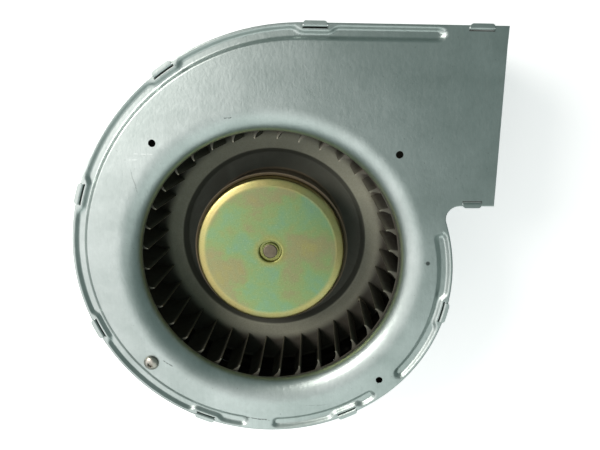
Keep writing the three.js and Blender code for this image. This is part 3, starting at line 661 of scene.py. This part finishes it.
def frontPlate():
    points, faces = pressedSheet(inlet["centre"], inlet["bellRadius"], plate["slotInner"], fixingPlaces())
    sides = plate["roundSides"]
    first = len(points)
    curve = bellPoints()
    for radius, z in curve:
        points += [(x, y, z) for x, y in circlePoints(*inlet["centre"], radius, sides)]
    for k in range(len(curve) - 1):
        for i in range(sides):
            j = (i + 1) % sides
            a, b = first + k * sides, first + (k + 1) * sides
            faces.append((a + i, a + j, b + j, b + i))
    points = [(x, y, z + frontZ) for x, y, z in points]
    return makePiece("inletPlate", points, faces, plateZinc, merge=0.005, thickness=plate["sheet"],
                     inner=dustyZinc)


def backPlate():
    points, faces = pressedSheet((0, 0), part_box("winding_back")[1][0] / mm + 3.5, plate["slotInnerBack"])
    points = [(x, y, backZ - z) for x, y, z in points]
    faces = [tuple(face)[::-1] for face in faces]
    return makePiece("motorSidePlate", points, faces, plateZinc, merge=0.005, thickness=plate["sheet"],
                     inner=dustyZinc)


settle(frontPlate(), "housing", "galvanised_sheet", "front_plate")
settle(backPlate(), "housing", "galvanised_sheet", "back_plate")
print("side plates made")


# One bent strip; where it has a tab the sheet runs on through the slot and folds out over the plate's rim.
def scrollBand():
    middle = band["inset"] + band["thickness"] / 2
    skin = band["thickness"] / 2
    low, high = backZ + plate["sheet"] + 0.05, frontZ - plate["sheet"] - 0.05
    bendZ = frontZ + 0.03 + skin - band["bend"]
    wall = [(middle, z) for z in spread(low, high, 14)]
    fold = [(middle, bendZ)]
    for degrees in (18, 36, 54, 72, 90):
        x, y = polar(band["bend"], degrees)
        fold.append((middle - band["bend"] + x, bendZ + y))
    fold += [(inset, fold[-1][1]) for inset in spread(fold[-1][0], -band["tabOverhang"], 4)[1:]]
    foldDown = [(inset, frontZ + backZ - z) for inset, z in reversed(fold)]
    rows = foldDown + wall + fold
    along = stations(2.0, [centre + side * halfTab(centre) for centre in tabCentres for side in (-1, 1)])
    points, faces = [], []
    for distance in along:
        nearest = min(tabCentres, key=lambda centre: abs(distance - centre))
        side = distance - nearest
        half = halfTab(nearest)
        drop = grooveDepth(distance, middle + skin)  # the wall's rim keeps clear of the pressed grooves
        for row, (inset, z) in enumerate(rows):
            if len(foldDown) <= row < len(rows) - len(fold):
                z += drop * ((low + high) / 2 - z) / ((high - low) / 2)
            fromTip = min(row, len(rows) - 1 - row)
            atCorner = fromTip == 0 and abs(abs(side) - half) < 0.01
            shift = -math.copysign(band["cornerCut"], side) if atCorner else 0
            points.append((*inside(distance + shift, inset), z))
    tall = len(rows)
    for i in range(len(along) - 1):
        centre = (along[i] + along[i + 1]) / 2
        tab = any(abs(centre - c) < halfTab(c) for c in tabCentres)
        for j in range(tall - 1):
            onWall = len(foldDown) <= j < tall - len(fold) - 1
            if onWall or tab:
                a = i * tall + j
                faces.append((a, a + tall, a + tall + 1, a + 1))
    piece = makePiece("scrollBand", points, faces, bandZinc, thickness=band["thickness"], offset=0.0,
                      inner=dustyZinc)
    for face in piece.data.polygons:  # the tabs stay outside in the clean air
        if not low < face.center.z / mm < high:
            face.material_index = 0
    return piece


settle(scrollBand(), "housing", "galvanised_sheet", "scroll_band")
print("scroll band made")

wheel = {
    "sheet": 0.8, "bladeInner": wheelRadius - 15.3, "count": 36, "first": 4.8, "sweep": 5.5, "sagitta": 2.2,
    "bladeThickness": 0.5, "across": 18, "tall": 16, "recess": 5.3, "recessRadius": 56.4, "recessWall": 2.6,
    "collarGap": 0.3, "lipFlare": 1.1, "lipHeight": 25, "ringWidth": 10.5, "flapWidth": 3.5, "flapStart": 0.5,
}
discTopZ = discLowZ + wheel["sheet"] + wheel["recess"]


def wheelDisc():
    half = wheel["sheet"] / 2
    collar = cupRadius + wheel["collarGap"] + half
    lipZ = discLowZ + wheel["lipHeight"] - half
    floorZ, discZ = discLowZ + half, discTopZ - half
    line = filleted([
        (collar + wheel["lipFlare"], lipZ), (collar, lipZ - 1.3), (collar, floorZ),
        (wheel["recessRadius"] - wheel["recessWall"], floorZ), (wheel["recessRadius"] - 0.2, discZ),
        (wheelRadius - 1.3, discZ), (wheelRadius - 0.5, discZ + 0.9),
    ], (1.0, 1.6, 1.8, 1.4, 0.7))
    points, faces = turned(thickened(line, wheel["sheet"]), 180)
    return makePiece("wheelBackDisc", points, faces, wheelSheet, recalculate=True)


def wheelRing():
    half = wheel["sheet"] / 2
    inner = wheelRadius - wheel["ringWidth"]
    line = filleted([
        (inner + half, ringTopZ - 0.1), (inner + 1.6, ringTopZ - half), (wheelRadius - 1.0, ringTopZ - half),
        (wheelRadius - 0.5, ringTopZ - 2.2),
    ], (0.8, 0.9))
    points, faces = turned(thickened(line, wheel["sheet"]), 180)
    return makePiece("wheelFrontRing", points, faces, wheelSheet, recalculate=True)


# A point on the blade's arc, at a share of its length and off it by side (positive on the hollow side).
def bladePoint(share, side=0.0):
    start = Vector((wheel["bladeInner"], 0))
    end = Vector(polar(wheelRadius - 0.9, -wheel["sweep"]))
    chord = end - start
    sagitta = wheel["sagitta"]
    radius = chord.length ** 2 / (8 * sagitta) + sagitta / 2
    along = math.atan2(chord.y, chord.x)
    half = math.asin(chord.length / 2 / radius)
    centre = (start + end) / 2 + Vector((math.sin(along), -math.cos(along))) * (radius - sagitta)
    angle = along + math.pi / 2 + half * (1 - 2 * share)
    return centre + Vector((math.cos(angle), math.sin(angle))) * (radius - side)


# One blade: a curved sheet whose front edge is folded over into a flap that widens outwards.
def bladeSheet():
    lowZ, highZ = discTopZ - 0.3, ringTopZ - 0.55
    shares = spread(0, 1, wheel["across"])
    points, faces, worn = [], [], []
    rows = [(z, 0.0) for z in spread(lowZ, highZ - 0.6, wheel["tall"])]
    rows += [(highZ - 0.25, 0.03), (highZ - 0.05, 0.12), (highZ, 0.3), (highZ, 0.65), (highZ, 1.0)]
    for z, out in rows:
        for share in shares:
            width = mix(wheel["flapStart"], wheel["flapWidth"], smooth(share / 0.4))
            point = bladePoint(share, width * out)
            points.append((point.x, point.y, z))
            # edge wear and painted highlight: full along the inner edge, faint over the folded flap
            worn.append(max(1 - smooth(share / 0.07), smooth((out - 0.05) / 0.3) * 0.12))
    wide = len(shares)
    for i in range(len(rows) - 1):
        for j in range(wide - 1):
            a = i * wide + j
            faces.append((a, a + wide, a + wide + 1, a + 1))
    mesh = bpy.data.meshes.new("blade")
    mesh.from_pydata([[c * mm for c in p] for p in points], [], faces)
    layer = mesh.attributes.new("worn", "FLOAT", "POINT")
    layer.data.foreach_set("value", worn)
    blade = bpy.data.objects.new("blade", mesh)
    scene.collection.objects.link(blade)
    solidify = blade.modifiers.new("wall", "SOLIDIFY")
    solidify.thickness = wheel["bladeThickness"] * mm
    solidify.offset = 0.0
    applyModifiers(blade)
    finishMesh(blade.data)
    return blade


def nodeTree(name, sockets):
    tree = bpy.data.node_groups.new(name, "GeometryNodeTree")
    tree.interface.new_socket("Geometry", in_out="OUTPUT", socket_type="NodeSocketGeometry")
    for label, kind in sockets:
        tree.interface.new_socket(label, in_out="INPUT", socket_type=kind)
    return tree, addNode(tree, "NodeGroupInput", give=None).outputs


def runTree(name, tree, values, material):
    holder = bpy.data.objects.new(name, bpy.data.meshes.new(name))
    scene.collection.objects.link(holder)
    modifier = holder.modifiers.new("build", "NODES")
    modifier.node_group = tree
    for item in tree.interface.items_tree:
        if item.in_out == "INPUT" and item.name in values:
            modifier[item.identifier] = values[item.name]
    applyModifiers(holder)
    holder.data.materials.clear()
    holder.data.materials.append(material)
    return holder


def closeTree(tree, geometry, material):
    real = addNode(tree, "GeometryNodeRealizeInstances", {"Geometry": geometry})
    painted = addNode(tree, "GeometryNodeSetMaterial", {"Geometry": real, "Material": material})
    addNode(tree, "NodeGroupOutput", {0: painted}, give=None)


# Copies of one sheet set round the Z axis; a little seeded turn makes them less perfect.
def ringOfCopies(name, source, material, count, first, play, seed):
    tree, inputs = nodeTree(name, [
        ("Piece", "NodeSocketObject"), ("Count", "NodeSocketInt"), ("First angle", "NodeSocketFloat"),
        ("Play", "NodeSocketFloat"), ("Seed", "NodeSocketInt")])
    sheet = addNode(tree, "GeometryNodeObjectInfo", {"Object": inputs["Piece"]}, give="Geometry")
    spots = addNode(tree, "GeometryNodeMeshLine", {"Count": inputs["Count"], "Offset": (0, 0, 0)})
    pitch = addNode(tree, "ShaderNodeMath", {0: 2 * math.pi, 1: inputs["Count"]}, operation="DIVIDE")
    loose = addNode(tree, "FunctionNodeRandomValue", {"Max": inputs["Play"], "Seed": inputs["Seed"]}, give=1,
                   data_type="FLOAT")
    base = addNode(tree, "ShaderNodeMath", {0: loose, 1: inputs["First angle"]})
    turn = addNode(tree, "ShaderNodeMath", {0: addNode(tree, "GeometryNodeInputIndex"), 1: pitch, 2: base},
                   operation="MULTIPLY_ADD")
    rotation = addNode(tree, "ShaderNodeCombineXYZ", {"Z": turn})
    copies = addNode(tree, "GeometryNodeInstanceOnPoints",
                     {"Points": spots, "Instance": sheet, "Rotation": rotation})
    closeTree(tree, copies, material)
    piece = runTree(name, tree, {"Piece": source, "Count": count, "First angle": math.radians(first),
                                 "Play": math.radians(play), "Seed": seed}, material)
    bpy.data.objects.remove(source)
    return piece


settle(wheelDisc(), "wheel", "wheel_sheet", "wheel_back_disc")
settle(wheelRing(), "wheel", "wheel_sheet", "wheel_front_ring")
blades = ringOfCopies("wheelBlades", bladeSheet(), wheelSheet, wheel["count"], wheel["first"], 0.25, 7)
settle(blades, "wheel", "wheel_sheet", *[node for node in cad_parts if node.startswith("blade_")])
print("wheel made")

clip = {"blade": 32, "height": 5.5, "thickness": 0.4, "reach": 0.62, "rise": 0.8}


# A folded strip of bright spring steel pushed over one blade's inner edge.
def balanceClip():
    side = (wheel["bladeThickness"] + clip["thickness"]) / 2 + 0.08
    line = [bladePoint(share, side) for share in spread(clip["reach"], 0.0, 12)]
    fold = bladePoint(0.0)
    for degrees in (-60, -30, 0, 30, 60):
        x, y = polar(side, degrees)
        line.append(Vector((fold.x - x - 0.1, fold.y - y)))
    line += [bladePoint(share, -side) for share in spread(0.0, clip["reach"], 12)]
    turn = Matrix.Rotation(math.radians(wheel["first"] + 360 / wheel["count"] * clip["blade"]), 2)
    line = [turn @ p for p in line]
    low = discTopZ + clip["rise"]
    points = [(p.x, p.y, z) for z in (low, low + clip["height"]) for p in line]
    wide = len(line)
    faces = [(j, j + 1, wide + j + 1, wide + j) for j in range(wide - 1)]
    return makePiece("balanceClip", points, faces, springSteel, thickness=clip["thickness"], offset=0.0)


settle(balanceClip(), "wheel", "spring_steel", "balance_clip")

rotor = {
    "wall": 1.5, "hubRadius": 6.4, "hubDepth": 2.0, "bush": 4.75, "bore": 4.05, "dish": 0.2,
    # the drawn shoulder: in from the side, down from the face
    "shoulder": ((0, 2.4), (0.12, 1.7), (0.4, 1.15), (0.9, 0.78), (1.7, 0.53), (2.8, 0.3), (3.8, 0.1),
                 (4.3, 0.0)),
    "innerRound": 3, "edgeRound": 0.3,
}


def rotorCup():
    r = rotor
    inner = cupRadius - r["wall"]
    outside = [(cupRadius - across, cupFaceZ - down) for across, down in r["shoulder"]]
    faceRadius = cupRadius - r["shoulder"][-1][0] - 0.25
    face = [(radius, cupFaceZ - r["dish"] * smooth(1 - radius / faceRadius))
            for radius in spread(faceRadius, r["hubRadius"] + 1.2, 14)]
    faceZ = face[-1][1]
    floorZ = faceZ - r["hubDepth"]
    hub = [(r["hubRadius"] + 0.5, faceZ + 0.02), (r["hubRadius"] + 0.15, faceZ - 0.12),
           (r["hubRadius"], faceZ - 0.45), (r["hubRadius"] - 0.1, floorZ + 0.25),
           (r["hubRadius"] - 0.35, floorZ), (r["bush"] + 0.15, floorZ),
           (r["bush"], floorZ + 0.15), (r["bush"], faceZ - 0.45), (r["bush"] - 0.2, faceZ - 0.25),
           (r["bore"] + 0.15, faceZ - 0.25), (r["bore"], faceZ - 0.4)]
    bend, ease = r["innerRound"], r["edgeRound"]
    ceiling = cupFaceZ - r["wall"]
    within = [(r["bore"], ceiling - bend), (r["hubRadius"] + 1.5, ceiling - bend),
              (r["hubRadius"] + 1.5, ceiling)]
    within += [shifted((inner - bend, ceiling - bend), bend, a) for a in (90, 60, 30, 0)]
    loop = [(inner, cupLowZ + 0.2), (inner + ease, cupLowZ), (cupRadius - ease, cupLowZ),
            (cupRadius, cupLowZ + ease)]
    points, faces = turned(loop + outside + face + hub + within, 192)
    return makePiece("rotorCup", points, faces, chromate, recalculate=True)


def shaftPiece():
    low, top = heightOf("shaft", 0), heightOf("shaft", 1) - 0.15
    loop = [(0, low), (3.5, low), (4.0, low + 0.5), (4.0, top - 0.35), (3.92, top - 0.12), (3.7, top),
            (3.2, top), (0, top)]
    points, faces = turned(loop, 64)
    return makePiece("motorShaft", points, faces, shaftSteel, recalculate=True)


settle(rotorCup(), "wheel", "passivated_steel", "rotor_cup")
settle(shaftPiece(), "wheel", "ground_steel", "shaft")
print("rotor made")

flange = {
    "potRadius": cupRadius - 4, "rimRadius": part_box("motor_flange")[1][0] / mm, "potDepth": 12,
    "rim": 3, "wall": 3, "screwCircle": 43.5, "screwAngles": (90, 210, 330), "padRadius": 5.2, "ribs": 9,
    "ribHeight": 7.5, "ribThickness": 1.8, "ribReach": 8.5, "tubeRadius": 13.5, "tubeBore": 11,
}


def motorFlange():
    f = flange
    pot, rimR, deep = f["potRadius"], f["rimRadius"], f["potDepth"]
    top = deep + f["rim"]
    tubeTop = heightOf("motor_flange", 1)
    wall, tube, bore = f["wall"], f["tubeRadius"], f["tubeBore"]
    outer = filleted([(0, 0), (pot - 0.6, 0), (pot, deep), (rimR, deep), (rimR, top), (pot - wall, top),
                      (pot - wall, wall), (tube, wall), (tube, tubeTop), (bore, tubeTop),
                      (bore, wall), (0, wall)], (1.6, 1.2, 0.6, 0.5, 0.5, 1.5, 1.5, 0.4, 0.4, 0.3), steps=4)
    points, faces = turned(outer, 144)
    for angle in f["screwAngles"]:  # cast pads under the screw heads
        x, y = polar(f["screwCircle"], angle)
        pad, padFaces = turned([(0, deep - 0.35), (f["padRadius"] - 0.3, deep - 0.35),
                                (f["padRadius"], deep + 0.5), (0, deep + 0.5)], 40)
        first = len(points)
        points += [(px + x, py + y, pz) for px, py, pz in pad]
        faces += [[first + c for c in face] for face in padFaces]
    for i in range(f["ribs"]):  # gussets between the pot and its rim
        angle = 360 * (i + 0.5) / f["ribs"] + 30
        half = f["ribThickness"] / 2
        section = [(pot - 2, deep + 1), (pot - 2, deep - f["ribHeight"]), (pot - 0.1, deep - f["ribHeight"]),
                   (pot + 1.0, deep - f["ribHeight"] * 0.55), (pot + 4.0, deep - 1.6),
                   (pot + f["ribReach"], deep - 0.1), (pot + f["ribReach"], deep + 1)]
        first = len(points)
        turn = Matrix.Rotation(math.radians(angle), 3, "Z")
        for side in (-half, half):
            points += [tuple(turn @ Vector((r, side, z))) for r, z in section]
        n = len(section)
        faces.append([first + k for k in range(n)])
        faces.append([first + n + k for k in reversed(range(n))])
        faces += [[first + (k + 1) % n, first + k, first + n + k, first + n + (k + 1) % n] for k in range(n)]
    return makePiece("motorFlange", points, faces, castAluminium, recalculate=True)


# (radius, distance from the outer end) of the ribbed sleeve, up to its root
gland = {
    "bore": 3.0, "root": 3.55,
    "ribs": ((3.6, 0.0), (3.7, 0.3), (3.7, 4.0), (4.3, 4.0), (4.4, 4.3), (4.4, 5.7), (4.2, 6.0),
             (3.9, 6.1), (3.9, 6.5), (4.1, 6.6), (4.1, 7.0), (3.8, 7.2), (3.8, 7.6), (3.95, 7.7),
             (3.95, 8.1), (3.7, 8.4)),
}


def cableGland():
    low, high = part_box("cable_gland")
    middle = [(a + b) / 2 / mm for a, b in zip(low, high)]
    start, end = high[1] / mm, low[1] / mm
    loop = [(gland["bore"], 0.0), *gland["ribs"], (gland["root"], start - end), (gland["bore"], start - end)]
    points, faces = turned(loop, 40)
    points = [(x + middle[0], start - z, y + middle[2]) for x, y, z in points]
    return makePiece("cableGland", points, faces, rubber, recalculate=True)


settle(motorFlange(), "housing", "cast_aluminium", "motor_flange")
settle(cableGland(), "housing", "rubber", "cable_gland")
print("motor flange made")

screw = {
    "headRadius": 4.1, "headHeight": 2.2, "headEdge": 0.25, "domeTop": 68, "socket": 1.55, "lobe": 0.3,
    "socketDepth": 1.2, "shank": 1.6, "length": 6.0, "sides": 48,
}


# A button head with a six-lobed socket, its shank along -Z, standing on z = 0.
def screwMesh():
    s = screw
    dome = [(s["headRadius"], 0.0), (s["headRadius"], s["headEdge"])]
    rise = (s["headHeight"] - s["headEdge"]) / math.sin(math.radians(s["domeTop"]))
    for degrees in spread(8, s["domeTop"], 8):
        across, up = polar(1, degrees)
        dome.append((s["headRadius"] * across, s["headEdge"] + rise * up))
    socketZ = s["headHeight"] - s["socketDepth"]
    rings = [(0.0, -s["length"], 0), (s["shank"] - 0.4, -s["length"], 0), (s["shank"], -s["length"] + 0.5, 0),
             (s["shank"], -0.2, 0), (s["shank"] + 0.2, 0.0, 0)] + [(r, z, 0) for r, z in dome]
    rings += [(s["socket"] + 0.12, s["headHeight"], 1), (s["socket"], s["headHeight"] - 0.12, 1),
              (s["socket"] - 0.05, socketZ, 1), (0.0, socketZ - 0.3, 0)]
    points, faces, loops = [], [], []
    for radius, z, lobed in rings:
        if radius == 0:
            points.append((0, 0, z))
            loops.append([len(points) - 1] * s["sides"])
            continue
        first = len(points)
        for i in range(s["sides"]):
            degrees = 360 * i / s["sides"]
            wave = s["lobe"] * math.cos(math.radians(6 * degrees)) * lobed
            points.append((*polar(radius + wave, degrees), z))
        loops.append(list(range(first, first + s["sides"])))
    for low, high in zip(loops, loops[1:]):
        for i in range(s["sides"]):
            j = (i + 1) % s["sides"]
            corners = list(dict.fromkeys((low[i], low[j], high[j], high[i])))
            if len(corners) > 2:
                faces.append(corners)
    return makePiece("screwShape", points, faces, screwSteel, recalculate=True)


# Screws on given points; each point carries the turn that stands it up or hangs it.
def screwsAt(name, places):
    spots = bpy.data.meshes.new(name + "Spots")
    spots.from_pydata([[c * mm for c in place[:3]] for place in places], [], [])
    turns = spots.attributes.new("turn", "FLOAT_VECTOR", "POINT")
    turns.data.foreach_set("vector", [c for place in places for c in place[3]])
    spotObject = bpy.data.objects.new(name + "Spots", spots)
    source = screwMesh()
    scene.collection.objects.link(spotObject)
    tree, inputs = nodeTree(name, [("Screw", "NodeSocketObject"), ("Spots", "NodeSocketObject")])
    shape = addNode(tree, "GeometryNodeObjectInfo", {"Object": inputs["Screw"]}, give="Geometry")
    points = addNode(tree, "GeometryNodeObjectInfo", {"Object": inputs["Spots"]}, give="Geometry")
    turn = addNode(tree, "GeometryNodeInputNamedAttribute", {"Name": "turn"}, data_type="FLOAT_VECTOR")
    copies = addNode(tree, "GeometryNodeInstanceOnPoints",
                     {"Points": points, "Instance": shape, "Rotation": turn})
    closeTree(tree, copies, screwSteel)
    piece = runTree(name, tree, {"Screw": source, "Spots": spotObject}, screwSteel)
    for used in (source, spotObject):
        bpy.data.objects.remove(used)
    return piece


inletScrewPlace = (*fixingPlaces()[2], frontZ + 0.02, (0.1, -0.12, 0.4))
flangeScrewPlaces = [(*polar(flange["screwCircle"], a), flange["potDepth"] - 0.37, (math.pi, 0, 0.3 * i))
                     for i, a in enumerate(flange["screwAngles"])]
screws = screwsAt("buttonScrews", [inletScrewPlace, *flangeScrewPlaces])
settle(screws, "housing", "stainless_screws", *[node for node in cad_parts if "_screw" in node])
print("screws made")

carried = {
    "stator_core": laminations, "rotor_core": laminations,
    "winding_front": copperWire, "winding_back": copperWire,
    "front_bearing_outer": groundSteel, "front_bearing_inner": groundSteel,
    "back_bearing_outer": groundSteel, "back_bearing_inner": groundSteel,
    "preload_washer": springSteel, "retaining_ring": springSteel,
}
for node, material in carried.items():
    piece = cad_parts[node]
    piece.data.materials.clear()
    piece.data.materials.append(material)
print("carried pieces painted")

stage = {
    "floor": "#f4f5f5", "floorDark": "#eceded", "floorGlow": 0.52, "size": 6.0,
    "world": (0.175, 0.23, 0.22),  # the dim, slightly cyan room
    # name: bearing, elevation, distance, size in m, radiance, colour
    "lights": {"softPanelLeft": (197, 52, 0.9, 1.15, 1.15, "#fff7f8"),
               "keyUpperLeft": (148, 43, 0.9, 0.4, 11.5, "#fff9f4"),
               "softPanelFront": (280, 42, 1.0, 1.0, 0.92, "#fbfffd")},
}


def addFloor():
    half = stage["size"] / 2
    mesh = bpy.data.meshes.new("paleFloor")
    corners = [(-half, -half, 0), (half, -half, 0), (half, half, 0), (-half, half, 0)]
    mesh.from_pydata(corners, [], [(0, 1, 2, 3)])
    floor = bpy.data.objects.new("paleFloor", mesh)
    scene.collection.objects.link(floor)
    material, add, place = startMaterial("paleCard")
    shade = patches(add, place, [400] * 3, 2.0)
    colour = add("ShaderNodeMix", {0: shade, 6: linear(stage["floorDark"]), 7: linear(stage["floor"])},
                 give=2, data_type="RGBA")
    surface = add("ShaderNodeBsdfPrincipled", {"Base Color": colour, "Roughness": 0.9,
                                               "Emission Strength": stage["floorGlow"],
                                               "Emission Color": (1, 1, 1, 1)})
    add("ShaderNodeOutputMaterial", {"Surface": surface}, give=None)
    mesh.materials.append(material)


# A round soft light aimed at the middle of the inlet plate; its radiance fixes its power.
def addLight(name, bearing, elevation, distance, size, radiance, colour):
    data = bpy.data.lights.new(name, "AREA")
    data.shape = "DISK"
    data.size = size
    data.energy = radiance * math.pi * math.pi * size * size / 4
    data.color = linear(colour)[:3]
    light = bpy.data.objects.new(name, data)
    flat, height = polar(distance, elevation)
    light.location = (*polar(flat, bearing), height + frontZ * mm)
    towards = Vector((0, 0, frontZ * mm)) - light.location
    light.rotation_euler = towards.to_track_quat("-Z", "Y").to_euler()
    scene.collection.objects.link(light)


addFloor()
for name, values in stage["lights"].items():
    addLight(name, *values)
world = bpy.data.worlds.new("studio")
scene.world = world
world.use_nodes = True
world.node_tree.nodes["Background"].inputs["Color"].default_value = (*stage["world"], 1)
scene.view_settings.view_transform = "Standard"

view = {
    "place": (0.02508, 0.08355, 0.25028 + frontZ * mm), "axis": (0.99286, -0.11925, 0.0), "tilt": -13.9,
    "lens": 30.62, "sensor": 36.0,
}
cameraData = bpy.data.cameras.new("camera")
cameraData.lens = view["lens"]
cameraData.sensor_width = view["sensor"]
cameraData.clip_start = 0.01
camera = bpy.data.objects.new("camera", cameraData)
camera.matrix_world = (Matrix.Translation(view["place"])
                       @ Matrix.Rotation(math.radians(view["tilt"]), 4, Vector(view["axis"])))
scene.collection.objects.link(camera)
scene.camera = camera
print("stage and camera set")
